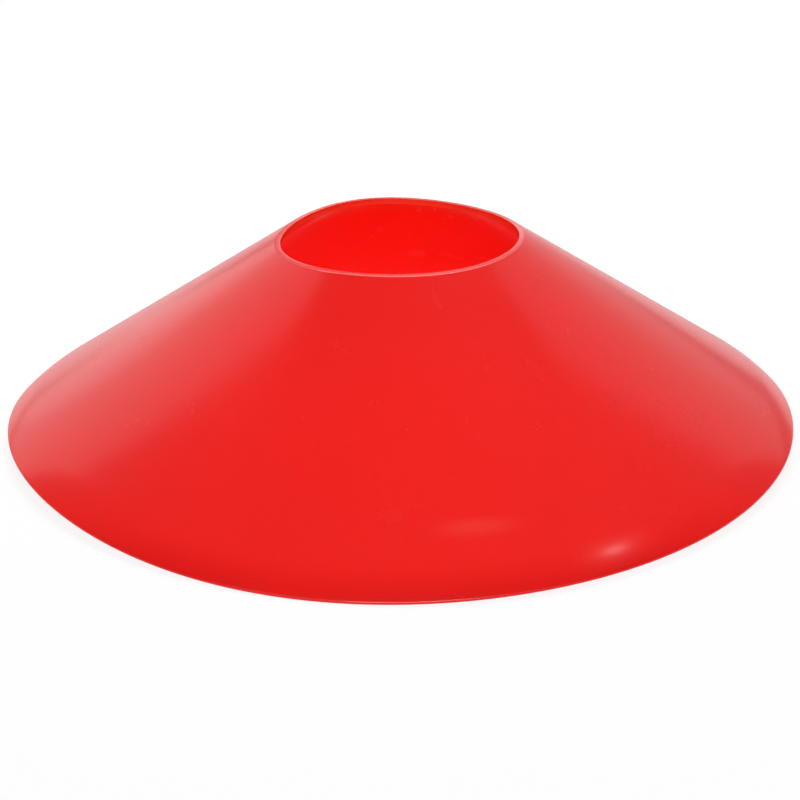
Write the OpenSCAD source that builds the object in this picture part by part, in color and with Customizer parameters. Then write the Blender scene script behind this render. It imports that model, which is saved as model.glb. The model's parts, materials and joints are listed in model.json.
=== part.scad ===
// Saucer-shaped sports marker cone: one thin moulded shell, open at the top and underneath.
// The origin is the centre of the base, on the ground, and +Z is the cone's axis.
// In a profile point the first number is the distance from the axis and the second is the height.
// A slope is measured down from level, so its surface faces outwards at [sin(slope), cos(slope)].

/* [Body] */
// Outer diameter of the foot
base_d = 190; // [150:1:260]
// Height from the ground to the land round the hole
cone_h = 50; // [35:1:70]
// Thickness of the wall, square to its surface
wall = 1.8; // [1.4:0.1:2.4]

/* [Top hole] */
// Diameter of the hole
hole_d = 55; // [30:1:80]
// Width of the flat land round the hole
land_w = 1.5; // [0.8:0.1:1.8]
// Radius of the edge between the land and the flank
land_edge_r = 0.8; // [0.2:0.1:1]

/* [Rim] */
// Outer radius of the bend that rolls the rim down to the ground
roll_r = 45; // [30:1:60]
// Angle through which the rim is rolled down, in degrees
roll_turn = 12; // [8:1:20]
// Radius of the outer edge of the foot
foot_edge_r = 0.5; // [0.2:0.1:0.7]

/* [Hidden] */
$fn = 180;
// Straight steps that stand for the rolled rim and for each rounded edge
roll_steps = 8;
edge_steps = 5;

base_r = base_d / 2;
hole_r = hole_d / 2;
// Corner where the land and the flank would meet if that edge were sharp
lip_corner = [hole_r + land_w, cone_h];
// Centre of the foot's rounded edge, which stands on the ground
foot_centre = [base_r - foot_edge_r, foot_edge_r];

// The flank is straight from the lip's corner to the roll, and the roll is tangent to it and to
// the foot's edge. The foot's centre then lies this far behind the flank's own line.
foot_behind_flank = roll_r - (roll_r - foot_edge_r) * cos(roll_turn);
lip_from_foot = lip_corner - foot_centre;
flank_slope = atan2(lip_from_foot.x, lip_from_foot.y) + acos(foot_behind_flank / norm(lip_from_foot));
foot_slope = flank_slope + roll_turn;
roll_centre = foot_centre - (roll_r - foot_edge_r) * outward(foot_slope);

// The inner face runs alongside the outer one, a wall's thickness behind it.
inner_roll_r = roll_r - wall;
inner_foot_slope = acos(-roll_centre.y / inner_roll_r);
bore_bottom = height_on_flank(wall, hole_r);
land_edge_centre = [radius_on_flank(land_edge_r, cone_h - land_edge_r), cone_h - land_edge_r];

// Direction that a surface of this slope faces
function outward(slope) = [sin(slope), cos(slope)];

// Points round a bend, from one slope to another
function bend(centre, radius, slope_a, slope_b, steps) =
    [for (i = [0:steps]) centre + radius * outward(slope_a + (slope_b - slope_a) * i / steps)];

// Height at this radius of the straight flank, taken inset behind its outer face
function height_on_flank(inset, radius) =
    roll_centre.y + (roll_r - inset - (radius - roll_centre.x) * sin(flank_slope)) / cos(flank_slope);

// Radius at this height of the straight flank, taken inset behind its outer face
function radius_on_flank(inset, height) =
    roll_centre.x + (roll_r - inset - (height - roll_centre.y) * cos(flank_slope)) / sin(flank_slope);

// Half section of the shell: up the inside to the bore, over the land and down the outside
module wall_section() {
    inner_face = bend(roll_centre, inner_roll_r, inner_foot_slope, flank_slope, roll_steps);
    bore_face = [[hole_r, bore_bottom], [hole_r, cone_h]];
    land_edge = bend(land_edge_centre, land_edge_r, 0, flank_slope, edge_steps);
    // The roll ends on the foot's edge, which goes on from its widest point to the ground
    outer_face = bend(roll_centre, roll_r, flank_slope, foot_slope, roll_steps);
    foot_edge = bend(foot_centre, foot_edge_r, 90, 180, edge_steps);
    polygon(concat(inner_face, bore_face, land_edge, outer_face, foot_edge));
}

// The whole cone: a shell of even thickness with a bored lip, a rolled rim and a flat foot ring
module cone_shell() {
    color([0.93, 0.15, 0.14])
        rotate_extrude()
            wall_section();
}

cone_shell();
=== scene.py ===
"""A sports marker cone as it looks: one thin, soft, moulded shell standing in a plain studio.

Lengths are in metres and angles in radians, apart from fields whose names say degrees or mm. The
cone's axis is +Z, the ground is z = 0, and the camera looks along +Y.
"""

import json
import logging
import math
from dataclasses import dataclass, field
from enum import Enum
from typing import Any, Dict, List, Optional, Sequence, Tuple, Union

import bpy
import numpy as np
from mathutils import Matrix, Vector


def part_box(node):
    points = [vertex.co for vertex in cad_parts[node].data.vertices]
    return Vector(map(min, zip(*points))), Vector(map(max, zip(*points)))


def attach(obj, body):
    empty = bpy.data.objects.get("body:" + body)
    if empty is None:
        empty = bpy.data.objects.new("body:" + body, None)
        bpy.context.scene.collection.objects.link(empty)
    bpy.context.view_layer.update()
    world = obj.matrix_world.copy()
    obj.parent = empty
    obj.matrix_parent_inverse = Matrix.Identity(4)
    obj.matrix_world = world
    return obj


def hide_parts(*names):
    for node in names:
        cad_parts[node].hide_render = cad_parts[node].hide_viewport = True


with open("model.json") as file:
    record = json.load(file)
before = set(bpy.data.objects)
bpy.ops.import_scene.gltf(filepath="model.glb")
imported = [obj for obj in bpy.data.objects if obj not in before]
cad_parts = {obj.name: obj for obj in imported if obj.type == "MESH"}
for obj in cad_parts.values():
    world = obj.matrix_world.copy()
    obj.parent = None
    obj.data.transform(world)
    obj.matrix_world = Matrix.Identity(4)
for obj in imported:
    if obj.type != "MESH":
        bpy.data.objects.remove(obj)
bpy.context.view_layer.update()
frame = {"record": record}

MM = 0.001
GRAIN_MIDDLE = 0.5
INSIDE = "inside"
# The lip's top, paler from wearing and as a painted highlight.
LIP_TOP = "lip_top"
# Inside the lip, where painted shade darkens the cut edge and the wall under it.
LIP_SHADE = "lip_shade"
SHELL_MAP = "shell_map"
LOG = logging.getLogger("marker_cone")

Colour = Tuple[float, float, float]


class Signal:
    """A number or colour that varies over a surface, held as a socket, with Python's operators."""

    def __init__(self, bench: "Bench", socket: Optional[bpy.types.NodeSocket]) -> None:
        """Wraps a socket.

        Args:
            bench: The node tree that the socket belongs to.
            socket: The output socket that carries the value, or None after a tree's last node.
        """
        self.bench = bench
        self.socket = socket

    def maths(self, operation: str, *values: "Value") -> "Signal":
        """Adds one Math node.

        Args:
            operation: The Math node's operation.
            values: Its inputs in order.

        Returns:
            The node's result.
        """
        return self.bench.node("ShaderNodeMath", {"operation": operation}, dict(enumerate(values)))

    def __add__(self, other: "Value") -> "Signal":
        """This value plus another."""
        return self.maths("ADD", self, other)

    def __sub__(self, other: "Value") -> "Signal":
        """This value less another."""
        return self.maths("SUBTRACT", self, other)

    def __rsub__(self, other: "Value") -> "Signal":
        """Another value less this one."""
        return self.maths("SUBTRACT", other, self)

    def __mul__(self, other: "Value") -> "Signal":
        """This value times another."""
        return self.maths("MULTIPLY", self, other)

    __radd__ = __add__
    __rmul__ = __mul__

    def either(self, other: "Value") -> "Signal":
        """The larger of this value and another."""
        return self.maths("MAXIMUM", self, other)

    def step(self, low: float, high: float) -> "Signal":
        """A smooth step over this value.

        Args:
            low: Where the step starts, at 0.
            high: Where the step ends, at 1.

        Returns:
            A value from 0 to 1.
        """
        return self.bench.node(
            "ShaderNodeMapRange",
            {"interpolation_type": "SMOOTHSTEP"},
            {"Value": self, "From Min": low, "From Max": high},
        )


Value = Union[float, Signal]


class Bench:
    """A node tree under construction."""

    def __init__(self, tree: bpy.types.NodeTree) -> None:
        """Starts on an empty tree.

        Args:
            tree: The node tree, which is emptied.
        """
        self.tree = tree
        tree.nodes.clear()

    def node(
        self, kind: str, settings: Dict[str, Any], inputs: Dict[Any, Any], output: Any = 0
    ) -> Signal:
        """Adds any node.

        Args:
            kind: The node's type.
            settings: The node's own settings, which are set before its inputs.
            inputs: Values or signals by the socket's name or number.
            output: The name or number of the socket that is returned.

        Returns:
            One output of the node, which is empty for the node that ends a tree.
        """
        made = self.tree.nodes.new(kind)
        for name, value in settings.items():
            setattr(made, name, value)
        for name, value in inputs.items():
            if isinstance(value, Signal):
                self.tree.links.new(value.socket, made.inputs[name])
            elif isinstance(value, tuple) and made.inputs[name].type == "RGBA":
                made.inputs[name].default_value = (*value, 1.0)
            else:
                made.inputs[name].default_value = value
        return Signal(self, made.outputs[output] if made.outputs else None)

    def blend(self, share: Value, first: Any, second: Any) -> Signal:
        """Mixes two colours.

        Args:
            share: How much of the second colour shows, from 0 to 1.
            first: The colour or signal at 0.
            second: The colour or signal at 1.

        Returns:
            The mixed colour.
        """
        factor, colour_a, colour_b, mixed = 0, 6, 7, 2
        sockets = {factor: share, colour_a: first, colour_b: second}
        return self.node("ShaderNodeMix", {"data_type": "RGBA"}, sockets, mixed)

    def grain(self, place: Signal, octaves: float, scale: float = 1.0, harshness: float = 0.5) -> Signal:
        """Fractal noise from 0 to 1, centred on a half.

        Args:
            place: The coordinates that it follows.
            octaves: Finer noises that are added.
            scale: Cycles per unit of those coordinates.
            harshness: How strong each octave is beside the one before.

        Returns:
            The noise.
        """
        inputs = {"Vector": place, "Scale": scale, "Detail": octaves, "Roughness": harshness}
        return self.node("ShaderNodeTexNoise", {}, inputs, "Fac")


def facing(slope: Union[float, np.ndarray]) -> np.ndarray:
    """The direction that a surface of this slope faces in the section: (sin slope, cos slope).

    Args:
        slope: Angles down from level, so 0 faces up and a quarter turn faces away from the axis.

    Returns:
        Distances from the axis and heights, in the last dimension.
    """
    return np.stack([np.sin(slope), np.cos(slope)], axis=-1)


@dataclass(frozen=True)
class Face:
    """A straight face of the section: the points whose product with its facing is the offset."""

    slope: float
    offset: float


@dataclass(frozen=True)
class Bend:
    """A round stretch of the section: centre + radius * facing(slope) as the slope turns.

    The radius is negative where the bend is hollow.
    """

    centre: np.ndarray
    radius: float
    start: float
    end: float
    steps: int

    def slopes(self) -> np.ndarray:
        """The slopes of its points."""
        return np.linspace(self.start, self.end, self.steps + 1)

    def points(self) -> np.ndarray:
        """Its points in the section."""
        return self.centre + self.radius * facing(self.slopes())


def rounded_corner(before: Face, after: Face, radius: float, steps: int) -> Bend:
    """The bend that is tangent to two faces: its centre lies one radius behind both of them.

    Args:
        before: The face that leads into the corner.
        after: The face that leads out of it.
        radius: The corner's radius.
        steps: Straight steps in the bend.

    Returns:
        The bend.
    """
    normals = facing(np.array([before.slope, after.slope]))
    centre = np.linalg.solve(normals, [before.offset - radius, after.offset - radius])
    return Bend(centre, radius, before.slope, after.slope, steps)


@dataclass(frozen=True)
class WallSection:
    """The cone's wall cut along its axis: a closed path of straight faces and round bends."""

    foot_radius: float
    height: float
    hole_radius: float
    wall: float = 1.8 * MM
    land_width: float = 1.05 * MM
    land_slope: float = math.radians(8)
    land_edge: float = 0.5 * MM
    bore_edge: float = 0.15 * MM
    roll_radius: float = 45 * MM
    roll_turn: float = math.radians(12)
    foot_edge: float = 0.5 * MM
    heel_edge: float = 0.35 * MM
    edge_steps: int = 8
    roll_steps: int = 16
    run_step: float = 1.9 * MM
    fewest_run_steps: int = 3
    joined_within: float = 0.0001 * MM

    def bends(self) -> List[Bend]:
        """The bends in order: over the lip, down the outside, under the foot and up the inside.

        The slope grows along the path, in half turns from 1.5 where the bore faces the axis, by 2
        at the level land and 3 under the foot, to 3.5 at the bore again. The flank runs from the
        corner of the land to the rolled rim. The roll ends on the foot's rounded edge, so the
        foot's centre lies a known distance behind the flank's own line, which gives the flank's
        slope. The inner face keeps the wall's thickness behind the outer one. The land falls away
        slightly from the top of the bore.

        Returns:
            The bends. Each is joined to the next by a straight face, or touches it.
        """
        at_bore, level, underneath, at_bore_again = (
            math.pi * half_turns for half_turns in (1.5, 2.0, 3.0, 3.5)
        )
        lip_corner = np.array([self.hole_radius + self.land_width, self.height])
        foot_centre = np.array([self.foot_radius - self.foot_edge, self.foot_edge])
        roll_to_foot = self.roll_radius - self.foot_edge
        foot_behind_flank = self.roll_radius - roll_to_foot * math.cos(self.roll_turn)
        along, up = lip_corner - foot_centre
        flank_slope = math.atan2(along, up) + math.acos(foot_behind_flank / math.hypot(along, up))
        foot_slope = flank_slope + self.roll_turn
        roll_centre = foot_centre - roll_to_foot * facing(foot_slope)
        flank_offset = float(roll_centre @ facing(flank_slope)) + self.roll_radius

        bore = Face(at_bore, -self.hole_radius)
        bore_top = np.array([self.hole_radius, self.height])
        land_offset = float(bore_top @ facing(level + self.land_slope))
        land = Face(level + self.land_slope, land_offset)
        flank = Face(level + flank_slope, flank_offset)
        inner_flank = Face(underneath + flank_slope, self.wall - flank_offset)
        bore_again = Face(at_bore_again, -self.hole_radius)

        inner_roll = self.roll_radius - self.wall
        heel_rise = self.heel_edge - roll_centre[1]
        heel_reach = math.sqrt((inner_roll + self.heel_edge) ** 2 - heel_rise**2)
        heel_centre = roll_centre + np.array([heel_reach, heel_rise])
        heel_slope = underneath + math.atan2(heel_reach, heel_rise)
        steps, roll_steps = self.edge_steps, self.roll_steps
        return [
            rounded_corner(bore, land, self.bore_edge, steps),
            rounded_corner(land, flank, self.land_edge, steps),
            Bend(roll_centre, self.roll_radius, flank.slope, level + foot_slope, roll_steps),
            Bend(foot_centre, self.foot_edge, level + foot_slope, underneath, steps),
            Bend(heel_centre, self.heel_edge, underneath, heel_slope, steps),
            Bend(roll_centre, -inner_roll, heel_slope, inner_flank.slope, roll_steps),
            rounded_corner(inner_flank, bore_again, self.bore_edge, steps),
        ]

    def path(self) -> Tuple[np.ndarray, np.ndarray]:
        """The closed path, with the straight runs' points crowded towards both ends.

        A run's shares of its length are (1 - cos(turn)) / 2 as the turn goes over half a circle.

        Returns:
            The points, and the slope of the surface at each.
        """
        bends = self.bends()
        points, slopes = [], []
        for bend, following in zip(bends, bends[1:] + bends[:1]):
            arc = bend.points()
            start, end = arc[-1], following.points()[0]
            run = float(np.linalg.norm(end - start))
            joined = run < self.joined_within
            steps = max(self.fewest_run_steps, round(run / self.run_step))
            turn = np.linspace(0, math.pi, steps + 1)[1:-1, None]
            between = start + (end - start) * (1 - np.cos(turn)) / 2
            points += [arc[:-1]] if joined else [arc, between]
            arc_slopes = bend.slopes()
            slopes += [arc_slopes[:-1]] if joined else [arc_slopes, np.full(steps - 1, bend.end)]
        return np.concatenate(points), np.concatenate(slopes)


class Sag(Enum):
    """How soft plastic leaves its mould's shape, each with the wave's level beside its size.

    At a level of 1 the wave only adds, so the shell stays within its mould's outline. At 0 it
    takes away as much as it adds, as a circle of fixed length does when it is squeezed.
    """

    RIM_LIFT = ("the rim rises off the ground", 1)
    RIM_PULL = ("the rim is drawn in", 1)
    LIP_DROP = ("the lip sinks", 1)
    LIP_PULL = ("the hole is drawn in", 0)


@dataclass(frozen=True)
class Lobe:
    """One wave of sag round the cone: size * (level + cos(count * (angle - towards)))."""

    sag: Sag
    count: int
    size: float
    towards_degrees: float

    def wave(self, angles: np.ndarray) -> np.ndarray:
        """The wave's distance round the cone.

        Args:
            angles: Angles round the cone.

        Returns:
            Distances at those angles.
        """
        _, level = self.sag.value
        turn = self.count * (angles - math.radians(self.towards_degrees))
        return self.size * (level + np.cos(turn))


def mesh_from_grid(name: str, points: np.ndarray, uv: np.ndarray) -> bpy.types.Mesh:
    """Makes a closed smooth mesh of quads from a grid that wraps both ways.

    The quad at (i, j) has the corners (i, j), (i, j + 1), (i + 1, j + 1) and (i + 1, j).

    Args:
        name: The mesh's name.
        points: Corners, shaped (turns, section, 3).
        uv: Map coordinates of the same grid with its last row and column repeated at 1.

    Returns:
        The mesh.
    """
    turns, section, _ = points.shape
    i, j = np.meshgrid(np.arange(turns), np.arange(section), indexing="ij")
    i_next, j_next = (i + 1) % turns, (j + 1) % section
    quads = np.stack(
        [i * section + j, i * section + j_next, i_next * section + j_next, i_next * section + j],
        axis=-1,
    )
    corner_uv = np.stack([uv[i, j], uv[i, j + 1], uv[i + 1, j + 1], uv[i + 1, j]], axis=2)
    mesh = bpy.data.meshes.new(name)
    mesh.vertices.add(turns * section)
    mesh.vertices.foreach_set("co", points.astype(np.float32).ravel())
    mesh.loops.add(quads.size)
    mesh.loops.foreach_set("vertex_index", quads.astype(np.int32).ravel())
    mesh.polygons.add(turns * section)
    loop_starts = np.arange(0, quads.size, quads.shape[-1], dtype=np.int32)
    mesh.polygons.foreach_set("loop_start", loop_starts)
    mesh.update(calc_edges=True)
    mesh.polygons.foreach_set("use_smooth", np.ones(turns * section, dtype=bool))
    mesh.uv_layers.new(name=SHELL_MAP).data.foreach_set("uv", corner_uv.astype(np.float32).ravel())
    mesh.validate()
    return mesh


@dataclass(frozen=True)
class PaintedHighlight:
    """A painted highlight: a faint paler patch, an ellipsoid that the surface runs through."""

    centre: Tuple[float, float, float]
    half_sizes: Tuple[float, float, float]
    turn_degrees: float
    strength: float

    def share(self, bench: Bench, place: Signal) -> Signal:
        """How strong the painted highlight is, fading from the patch's middle to its edge.

        Args:
            bench: The finish's node tree.
            place: Object coordinates.

        Returns:
            A share from 0 to the patch's strength.
        """
        turn = (0.0, 0.0, math.radians(self.turn_degrees))
        inputs = {"Vector": place, "Location": self.centre, "Rotation": turn, "Scale": self.half_sizes}
        within = bench.node("ShaderNodeMapping", {"vector_type": "TEXTURE"}, inputs)
        reach = bench.node("ShaderNodeVectorMath", {"operation": "LENGTH"}, {0: within}, "Value")
        return reach.step(1.0, 0.0) * self.strength


@dataclass(frozen=True)
class SoftPolyethylene:
    """The finish of the moulded shell: satin, saturated plastic that lets some light through.

    Scales are in cycles per metre, stretches are in cycles round the cone and round its section,
    and swings are from the least to the most. An effect starts at the value named from and is full
    at the one named to: those are heights for the painted light towards the foot and for the painted
    shade on the foot, places along Y for the painted shade on the foot's side towards the camera,
    and levels of the noise for scuff. Through_outside and through_inside are the shares of the light
    that those faces let through.
    """

    # Deep and bright: the plastic's uneven tone, and painted light that makes it brighter towards the
    # foot.
    deep_and_shaded: Colour = (0.78, 0.0105, 0.0075)
    bright_and_lit: Colour = (0.97, 0.0135, 0.0095)
    painted_light_from: float = 50 * MM
    painted_light_to: float = 5 * MM
    cloudiness: float = 0.5
    # The inner face's red is paler: partly the plastic's red, partly painted light scattered inside the
    # cone.
    inner_with_painted_scatter: Colour = (0.95, 0.13, 0.05)
    light_through: Colour = (0.98, 0.034, 0.015)
    through_outside: float = 0.5
    through_inside: float = 0.88
    roughness: float = 0.26
    roughness_swing: float = 0.07
    coat_roughness: float = 0.17
    ior: float = 1.5

    # Paler: where scuffed, and on the lip's top and the streak by the rim as painted highlights.
    rubbed_and_highlight: Colour = (0.95, 0.09, 0.07)
    highlight_least: float = 0.5
    # The lip's top is paler, partly from wearing and partly as a painted highlight.
    edge_wear_and_highlight: float = 0.06
    scuff_wear: float = 0.035
    scuff_roughness: float = 0.1
    scuff_stretch: Tuple[float, float, float] = (34.0, 13.0, 1.0)
    scuff_octaves: float = 6.0
    scuff_harshness: float = 0.65
    scuff_from: float = 0.6
    scuff_to: float = 0.75

    # Painted shade: a darker red on the rolled foot, most on its side towards the camera, and inside the
    # lip; it also dulls the coat there.
    painted_shade_colour: Colour = (0.55, 0.005, 0.004)
    foot_shade: float = 0.8
    shade_least: float = 0.6
    shade_swing: float = 0.8
    shade_dulling: float = 0.7
    foot_shade_from: float = 7.0 * MM
    foot_shade_to: float = 1.0 * MM
    shade_behind: float = 0.2
    # Places along Y where the foot's painted shade grows to full on the side towards the camera.
    front_shade_from: float = -45 * MM
    front_shade_to: float = -82 * MM
    # Painted shade inside the lip: a darker red there, and less light let through.
    lip_shade_strength: float = 0.8
    lip_shade_opacity: float = 0.5

    cloud_scale: float = 24.0
    cloud_octaves: float = 3.0
    waviness: float = 0.05 * MM
    fine_octaves: float = 2.0
    pore_scale: float = 1300.0
    pore_depth: float = 0.004 * MM
    ring_stretch: Tuple[float, float, float] = (5.0, 260.0, 1.0)
    ring_depth: float = 0.003 * MM
    # A painted highlight: the faint pale streak low on the front, right of the middle.
    painted_highlights: Tuple[PaintedHighlight, ...] = (
        PaintedHighlight(
            centre=(16.5 * MM, -80.5 * MM, 11.6 * MM),
            half_sizes=(14 * MM, 4.5 * MM, 2.6 * MM),
            turn_degrees=11,
            strength=0.4,
        ),
    )

    def stretched(self, bench: Bench, stretch: Tuple[float, float, float]) -> Signal:
        """Map coordinates, which run to 1 round the cone and round its section, times a stretch."""
        around = bench.node("ShaderNodeUVMap", {"uv_map": SHELL_MAP}, {})
        return bench.node("ShaderNodeMapping", {}, {"Vector": around, "Scale": stretch})

    def scuffs(self, bench: Bench) -> Signal:
        """Scattered light marks, where stretched noise is strong.

        Args:
            bench: The finish's node tree.

        Returns:
            1 on a mark and 0 between them.
        """
        place = self.stretched(bench, self.scuff_stretch)
        noise = bench.grain(place, self.scuff_octaves, harshness=self.scuff_harshness)
        return noise.step(self.scuff_from, self.scuff_to)

    def painted_shade(self, bench: Bench, place: Signal, clouds: Signal, lip_shade: Signal) -> Signal:
        """How much painted shade the surface gets: on the foot, most on its side towards the camera, and
        inside round the hole.

        Args:
            bench: The finish's node tree.
            place: Object coordinates.
            clouds: Broad noise, which makes the painted shade uneven.
            lip_shade: How much painted shade lies inside the lip, from 0 to 1 at the cut edge of the
                hole.

        Returns:
            A share from 0 to about 1.
        """
        depth, height = (bench.node("ShaderNodeSeparateXYZ", {}, {0: place}, axis) for axis in "YZ")
        # Painted shade on the foot: full on the side towards the camera and weaker behind.
        front_shade = depth.step(self.front_shade_from, self.front_shade_to) * (1 - self.shade_behind)
        low = height.step(self.foot_shade_from, self.foot_shade_to) * self.foot_shade
        at_foot = low * (front_shade + self.shade_behind)
        # The painted shade inside the lip is added there too, and the clouds make both uneven.
        return (at_foot + lip_shade * self.lip_shade_strength) * (self.shade_least + self.shade_swing * clouds)

    def wear_and_highlights(
        self, bench: Bench, place: Signal, clouds: Signal, scuffs: Signal, lip_top: Signal
    ) -> Signal:
        """How much paler the surface is: scuffed, paler on the lip's top from wearing and as a painted
        highlight, and paler in the painted highlight patches.

        The clouds over their middle are 1 on average, so the lip's paleness is on average the share
        given for the edge, partly wearing and partly painted highlight.

        Args:
            bench: The finish's node tree.
            place: Object coordinates.
            clouds: Broad noise, which makes the paleness uneven.
            scuffs: The scuff marks.
            lip_top: From 0 to 1 on the lip's top, which is paler from wearing and as a painted
                highlight.

        Returns:
            A share from 0 to about a half.
        """
        # Scuffs, and the lip's top, which is paler partly from wearing and partly as a painted
        # highlight.
        worn_and_lit = scuffs * self.scuff_wear + lip_top * clouds * (self.edge_wear_and_highlight / GRAIN_MIDDLE)
        # The painted highlights are added as paler patches.
        for highlight in self.painted_highlights:
            worn_and_lit = worn_and_lit + highlight.share(bench, place) * (self.highlight_least + clouds)
        return worn_and_lit

    def relief(self, bench: Bench, place: Signal, clouds: Signal) -> Signal:
        """The fine relief as normals: broad waves, pores and the mould's turning rings.

        The relief is a height in metres, so the distance that the Bump node takes for 1 is 1.

        Args:
            bench: The finish's node tree.
            place: Object coordinates.
            clouds: Broad noise, which gives the waves.

        Returns:
            The bumped normal.
        """
        pores = bench.grain(place, self.fine_octaves, self.pore_scale)
        rings = bench.grain(self.stretched(bench, self.ring_stretch), self.fine_octaves)
        relief = clouds * self.waviness + pores * self.pore_depth + rings * self.ring_depth
        return bench.node("ShaderNodeBump", {}, {"Height": relief, "Distance": 1.0})

    def tint(self, bench: Bench, place: Signal, clouds: Signal, inside: Signal) -> Signal:
        """The plastic's colour: uneven in tone, painted brighter towards the foot as painted light, and
        a paler red inside that paints in light scattered within the cone.

        The brightness comes from the clouds, as uneven tone, by the share named cloudiness, else from
        the height, as painted light.

        Args:
            bench: The finish's node tree.
            place: Object coordinates.
            clouds: Broad noise, which makes the colour uneven.
            inside: 1 on the inner face and the bore, and 0 elsewhere.

        Returns:
            The colour.
        """
        height = bench.node("ShaderNodeSeparateXYZ", {}, {0: place}, "Z")
        # Painted light: the colour is painted brighter from the lip down to the foot.
        low = height.step(self.painted_light_from, self.painted_light_to)
        brightness = clouds * self.cloudiness + low * (1 - self.cloudiness)
        # The inner face takes the paler red that paints in scattered light.
        return bench.blend(inside, bench.blend(brightness, self.deep_and_shaded, self.bright_and_lit), self.inner_with_painted_scatter)

    def material(self, name: str) -> bpy.types.Material:
        """Builds the finish: a coated skin, mixed with light that comes through the wall.

        Args:
            name: The material's name.

        Returns:
            The material.
        """
        material = bpy.data.materials.new(name)
        material.use_nodes = True
        bench = Bench(material.node_tree)
        place = bench.node("ShaderNodeTexCoord", {}, {}, "Object")
        # Marks: the inner face, the lip's top, and the painted shade inside the lip.
        inside, lip_top, lip_shade = (
            bench.node("ShaderNodeAttribute", {"attribute_name": attribute}, {}, "Fac")
            for attribute in (INSIDE, LIP_TOP, LIP_SHADE)
        )
        clouds = bench.grain(place, self.cloud_octaves, self.cloud_scale)
        scuffs = self.scuffs(bench)
        # Painted shade on the foot and inside the lip.
        painted_shade = self.painted_shade(bench, place, clouds, lip_shade)
        tint = self.tint(bench, place, clouds, inside)
        # Paler where scuffed, and on the lip's top and the streak as painted highlights.
        worn_and_lit_tint = bench.blend(self.wear_and_highlights(bench, place, clouds, scuffs, lip_top), tint, self.rubbed_and_highlight)
        swing = (clouds - GRAIN_MIDDLE) * self.roughness_swing
        skin = bench.node(
            "ShaderNodeBsdfPrincipled",
            {},
            {
                # The painted shade darkens the base colour and dulls the coat.
                "Base Color": bench.blend(painted_shade, worn_and_lit_tint, self.painted_shade_colour),
                "Roughness": self.roughness + swing + scuffs * self.scuff_roughness,
                "IOR": self.ior,
                "Coat Weight": 1 - painted_shade * self.shade_dulling,
                "Coat Roughness": self.coat_roughness,
                "Coat IOR": self.ior,
                "Normal": self.relief(bench, place, clouds),
            },
        )
        glow = bench.node("ShaderNodeBsdfTranslucent", {}, {"Color": self.light_through})
        through = self.through_outside + inside * (self.through_inside - self.through_outside)
        # Painted shade inside the lip: less light comes through the wall there.
        through = through - lip_shade * self.lip_shade_opacity
        surface = bench.node("ShaderNodeMixShader", {}, {0: through, 1: skin, 2: glow})
        bench.node("ShaderNodeOutputMaterial", {}, {"Surface": surface})
        return material


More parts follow.
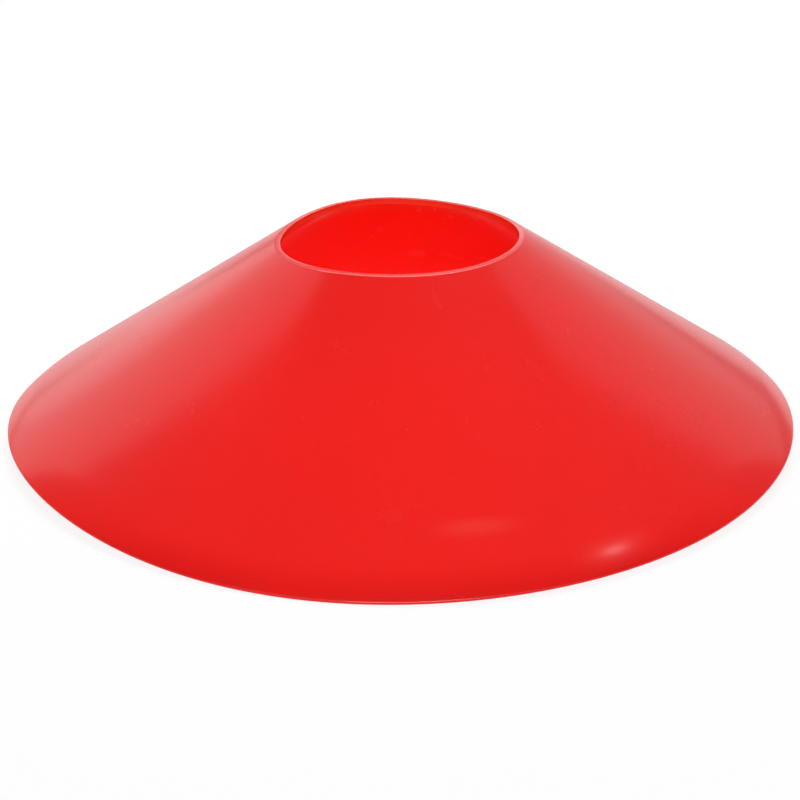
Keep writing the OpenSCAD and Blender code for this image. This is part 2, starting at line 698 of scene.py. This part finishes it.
@dataclass
class ConeShell:
    """The whole marker cone: one shell with a bored lip, a straight flank and a rolled rim.

    The slopes that bound its marks are in half turns past the level land, and the heights are
    shares of the cone's height.
    """

    node: str = "cone_shell"
    slot: str = "red_shell"
    turns: int = 480
    inside_from: float = 1.05
    # The lip's top, paler from wearing and as a painted highlight.
    lip_top_slopes: Sequence[float] = (-0.02, 0.0, 0.16, 0.2)
    lip_top_shares: Sequence[float] = (0.0, 1.0, 1.0, 0.0)
    # Heights inside the lip that painted shade darkens.
    lip_shade_heights: Sequence[float] = (0.88, 0.976, 0.984)
    lip_shade_shares: Sequence[float] = (0.0, 0.45, 1.0)
    finish: SoftPolyethylene = SoftPolyethylene()
    lobes: Sequence[Lobe] = (
        Lobe(Sag.RIM_LIFT, 2, 1.3 * MM, 3),
        Lobe(Sag.RIM_LIFT, 4, 0.37 * MM, 19),
        Lobe(Sag.RIM_PULL, 3, 1.2 * MM, 92),
        Lobe(Sag.LIP_DROP, 2, 0.46 * MM, 17),
        Lobe(Sag.LIP_DROP, 3, 0.32 * MM, -61),
        Lobe(Sag.LIP_PULL, 2, 0.89 * MM, -57),
    )

    def section(self) -> WallSection:
        """Sizes the wall's section from the frame.

        Returns:
            The section, as wide and high as the node's box and with the bore of its mount.
        """
        low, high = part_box(self.node)
        bore = next(m for m in frame["record"]["mounts"] if m["kind"] == "bore")
        return WallSection((high.x - low.x) / 2, high.z, bore["dims"]["r_mm"] * MM)

    def sag(self, kind: Sag, angles: np.ndarray) -> np.ndarray:
        """The distance that the lobes of one kind add up to.

        Args:
            kind: The kind of sag.
            angles: Angles round the cone.

        Returns:
            Distances at those angles.
        """
        return sum(lobe.wave(angles) for lobe in self.lobes if lobe.sag is kind)

    def surface(self) -> Tuple[np.ndarray, np.ndarray]:
        """The shell's points: the section turned about the axis, drawn in by the lobes.

        With t the height as a share of the whole, a point's radius loses RIM_PULL * (1 - t) and
        LIP_PULL * t, and its height gains RIM_LIFT * (1 - t) and loses LIP_DROP * t. The lift is
        taken from where the rim is lowest, so the cone still stands on the ground.

        Returns:
            Points, shaped (turns, section, 3), and map coordinates with both seams closed.
        """
        section = self.section()
        path, _ = section.path()
        angles = np.arange(self.turns)[:, None] * (2 * math.pi / self.turns)
        radius, height = path[:, 0], path[:, 1]
        share = height / section.height
        radii = radius - self.sag(Sag.RIM_PULL, angles) * (1 - share)
        radii = radii - self.sag(Sag.LIP_PULL, angles) * share
        lift = self.sag(Sag.RIM_LIFT, angles)
        heights = height + (lift - lift.min()) * (1 - share)
        heights = heights - self.sag(Sag.LIP_DROP, angles) * share
        points = np.stack([radii * np.cos(angles), radii * np.sin(angles), heights], axis=-1)
        steps = np.linalg.norm(np.roll(path, -1, axis=0) - path, axis=1)
        along = np.concatenate([[0.0], np.cumsum(steps)]) / steps.sum()
        around = np.arange(self.turns + 1) / self.turns
        return points, np.stack(np.meshgrid(around, along, indexing="ij"), axis=-1)

    def mark(self, mesh: bpy.types.Mesh, name: str, shares: np.ndarray) -> None:
        """Stores a number on the mesh for the finish to read, the same all the way round.

        Args:
            mesh: The shell's mesh.
            name: The attribute's name.
            shares: The numbers, one for each point of the section.
        """
        layer = mesh.attributes.new(name, "FLOAT", "POINT")
        layer.data.foreach_set("value", np.tile(shares.astype(np.float32), self.turns))

    def build(self) -> bpy.types.Object:
        """Makes the shell, marks and dresses it, and puts it in the node's place.

        Returns:
            The finished piece.
        """
        points, uv = self.surface()
        mesh = mesh_from_grid("marker_shell", points, uv)
        section = self.section()
        path, slopes = section.path()
        past_land = (slopes - 2 * math.pi) / math.pi
        inside = past_land > self.inside_from
        near_lip = np.interp(path[:, 1] / section.height, self.lip_shade_heights, self.lip_shade_shares)
        self.mark(mesh, INSIDE, inside)
        # Painted shade inside the lip.
        self.mark(mesh, LIP_SHADE, near_lip * inside)
        # The lip's top, paler from wearing and as a painted highlight.
        self.mark(mesh, LIP_TOP, np.interp(past_land, self.lip_top_slopes, self.lip_top_shares))
        piece = bpy.data.objects.new("marker_shell", mesh)
        bpy.context.scene.collection.objects.link(piece)
        mesh.materials.append(self.finish.material("red_polyethylene"))
        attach(piece, "root")
        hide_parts(self.node)
        return piece


@dataclass(frozen=True)
class SoftBox:
    """A flat soft lamp that faces a point inside the cone. The camera doesn't see it.

    Its azimuth is 0 towards +X and grows towards +Y. A brightness of 1 is a white sheet's.
    """

    azimuth_degrees: float
    elevation_degrees: float
    distance: float
    width: float
    height: float
    brightness: float
    aim_height: float = 20 * MM

    def build(self, name: str) -> bpy.types.Object:
        """Places the lamp. A lamp's power is pi times its brightness times its area.

        Args:
            name: The lamp's name.

        Returns:
            The lamp.
        """
        azimuth, elevation = math.radians(self.azimuth_degrees), math.radians(self.elevation_degrees)
        level = math.cos(elevation)
        outwards = Vector((math.cos(azimuth) * level, math.sin(azimuth) * level, math.sin(elevation)))
        sideways = Vector((-math.sin(azimuth), math.cos(azimuth), 0))
        data = bpy.data.lights.new(name, "AREA")
        data.shape = "RECTANGLE"
        data.size, data.size_y = self.width, self.height
        data.energy = math.pi * self.brightness * self.width * self.height
        lamp = bpy.data.objects.new(name, data)
        place = Matrix((sideways, outwards.cross(sideways), outwards)).transposed().to_4x4()
        place.translation = Vector((0, 0, self.aim_height)) + outwards * self.distance
        lamp.matrix_world = place
        lamp.visible_camera = False
        bpy.context.scene.collection.objects.link(lamp)
        return lamp


@dataclass
class Studio:
    """A white floor in an even, dim room, with soft boxes in front, behind and above.

    Each soft box is given by its azimuth, elevation, distance, width, height and brightness.
    """

    floor_size: float = 8.0
    floor_white: float = 0.8
    floor_glow: float = 0.85
    covered: float = 86 * MM
    covered_edge: float = 4 * MM
    room: float = 0.275
    soft_boxes: Dict[str, SoftBox] = field(
        default_factory=lambda: {
            "key_in_front": SoftBox(272, 27, 1.6, 0.99, 0.25, 22.0),
            "front_left": SoftBox(232, 27, 1.6, 0.7, 0.4, 2.3),
            "front_right": SoftBox(308, 27, 1.6, 0.7, 0.4, 1.6),
            "left_behind": SoftBox(134, 30, 0.3, 0.23, 0.35, 0.7),
            "right_behind": SoftBox(56, 28, 0.3, 0.29, 0.27, 0.43),
            "strip_above": SoftBox(80, 64, 1.0, 0.59, 0.11, 12.0),
            "low_on_the_left": SoftBox(117, 9, 0.6, 0.25, 0.16, 0.26),
            "low_on_the_right": SoftBox(63, 9, 0.6, 0.25, 0.16, 0.1),
            "small_behind": SoftBox(90, 20, 0.6, 0.2, 0.14, 2.0),
            "high_behind": SoftBox(90, 53, 0.6, 0.5, 0.15, 8.6),
            "small_to_the_right": SoftBox(-4, 49.5, 1.6, 0.05, 0.05, 50.0),
        }
    )

    def floor(self) -> bpy.types.Object:
        """Lays the floor, which looks white to the camera and in reflections and keeps its shadow.

        The patch that the cone covers is plain paint, so that the shell's inside reflects shade.

        Returns:
            The floor.
        """
        half = self.floor_size / 2
        corners = [(-half, -half, 0), (half, -half, 0), (half, half, 0), (-half, half, 0)]
        mesh = bpy.data.meshes.new("studio_floor")
        mesh.from_pydata(corners, [], [(0, 1, 2, 3)])
        material = bpy.data.materials.new("studio_white")
        material.use_nodes = True
        bench = Bench(material.node_tree)
        paint = bench.node("ShaderNodeBsdfDiffuse", {}, {"Color": (self.floor_white,) * 3})
        shine = bench.node("ShaderNodeEmission", {}, {"Color": (1.0, 1.0, 1.0)})
        place = bench.node("ShaderNodeTexCoord", {}, {}, "Object")
        from_axis = bench.node("ShaderNodeVectorMath", {"operation": "LENGTH"}, {0: place}, "Value")
        open_floor = from_axis.step(self.covered, self.covered + self.covered_edge)
        glowing = self.seen_rays(bench) * open_floor * self.floor_glow
        surface = bench.node("ShaderNodeMixShader", {}, {0: glowing, 1: paint, 2: shine})
        bench.node("ShaderNodeOutputMaterial", {}, {"Surface": surface})
        mesh.materials.append(material)
        piece = bpy.data.objects.new("studio_floor", mesh)
        bpy.context.scene.collection.objects.link(piece)
        return piece

    @staticmethod
    def seen_rays(bench: Bench) -> Signal:
        """Tells the rays that see the floor shine white from those that see its paint.

        Args:
            bench: The floor's node tree.

        Returns:
            1 for rays from the camera, from a gloss or through glass, and 0 for the others.
        """
        camera, gloss, glass = (
            bench.node("ShaderNodeLightPath", {}, {}, ray)
            for ray in ("Is Camera Ray", "Is Glossy Ray", "Is Transmission Ray")
        )
        return camera.either(gloss).either(glass)

    def lamps(self) -> List[bpy.types.Object]:
        """Places the soft boxes."""
        return [box.build(name) for name, box in self.soft_boxes.items()]

    def world(self) -> bpy.types.World:
        """Lights the room evenly. To the camera it is plain white.

        Returns:
            The world.
        """
        world = bpy.data.worlds.new("studio_room")
        world.use_nodes = True
        bench = Bench(world.node_tree)
        camera = bench.node("ShaderNodeLightPath", {}, {}, "Is Camera Ray")
        strength = camera.either(self.room)
        shine = bench.node("ShaderNodeBackground", {}, {"Strength": strength})
        bench.node("ShaderNodeOutputWorld", {}, {"Surface": shine})
        bpy.context.scene.world = world
        return world


@dataclass
class PhotoCamera:
    """The camera that took the photograph, aimed a little below the middle of the cone."""

    sensor_mm: float = 36.0
    lens_mm: float = 129.6
    distance: float = 682.2 * MM
    subject_height: float = 25 * MM
    elevation_degrees: float = 20.89
    aim_right_degrees: float = -0.02
    aim_down_degrees: float = 1.33
    roll_degrees: float = -0.34

    def build(self) -> bpy.types.Object:
        """Places the camera on a ray that rises from the cone's middle at the elevation.

        Returns:
            The camera.
        """
        elevation = math.radians(self.elevation_degrees)
        yaw = math.radians(self.aim_right_degrees)
        pitch = elevation + math.radians(self.aim_down_degrees)
        roll = math.radians(self.roll_degrees)
        level_ahead = Vector((math.sin(yaw), math.cos(yaw), 0)) * math.cos(pitch)
        ahead = level_ahead - Vector((0, 0, math.sin(pitch)))
        level = Vector((math.cos(yaw), -math.sin(yaw), 0))
        upright = level.cross(ahead)
        right = level * math.cos(roll) + upright * math.sin(roll)
        upwards = upright * math.cos(roll) - level * math.sin(roll)
        back = Vector((0, -math.cos(elevation), math.sin(elevation))) * self.distance
        data = bpy.data.cameras.new("photo_camera")
        data.sensor_width = self.sensor_mm
        data.lens = self.lens_mm
        camera = bpy.data.objects.new("photo_camera", data)
        place = Matrix((right, upwards, -ahead)).transposed().to_4x4()
        place.translation = Vector((0, 0, self.subject_height)) + back
        camera.matrix_world = place
        bpy.context.scene.collection.objects.link(camera)
        bpy.context.scene.camera = camera
        return camera


def main() -> None:
    """Builds the camera, the studio and the cone, in that order."""
    logging.basicConfig(level=logging.INFO, format="%(name)s: %(message)s")
    bpy.context.scene.view_settings.view_transform = "Standard"
    camera = PhotoCamera().build()
    LOG.info("%s at %.3f m", camera.name, camera.matrix_world.translation.length)
    studio = Studio()
    LOG.info("%s over %s, with %d lamps", studio.world().name, studio.floor().name, len(studio.lamps()))
    shell = ConeShell().build()
    LOG.info("%s: %d faces", shell.name, len(shell.data.polygons))


if __name__ == "__main__":
    main()
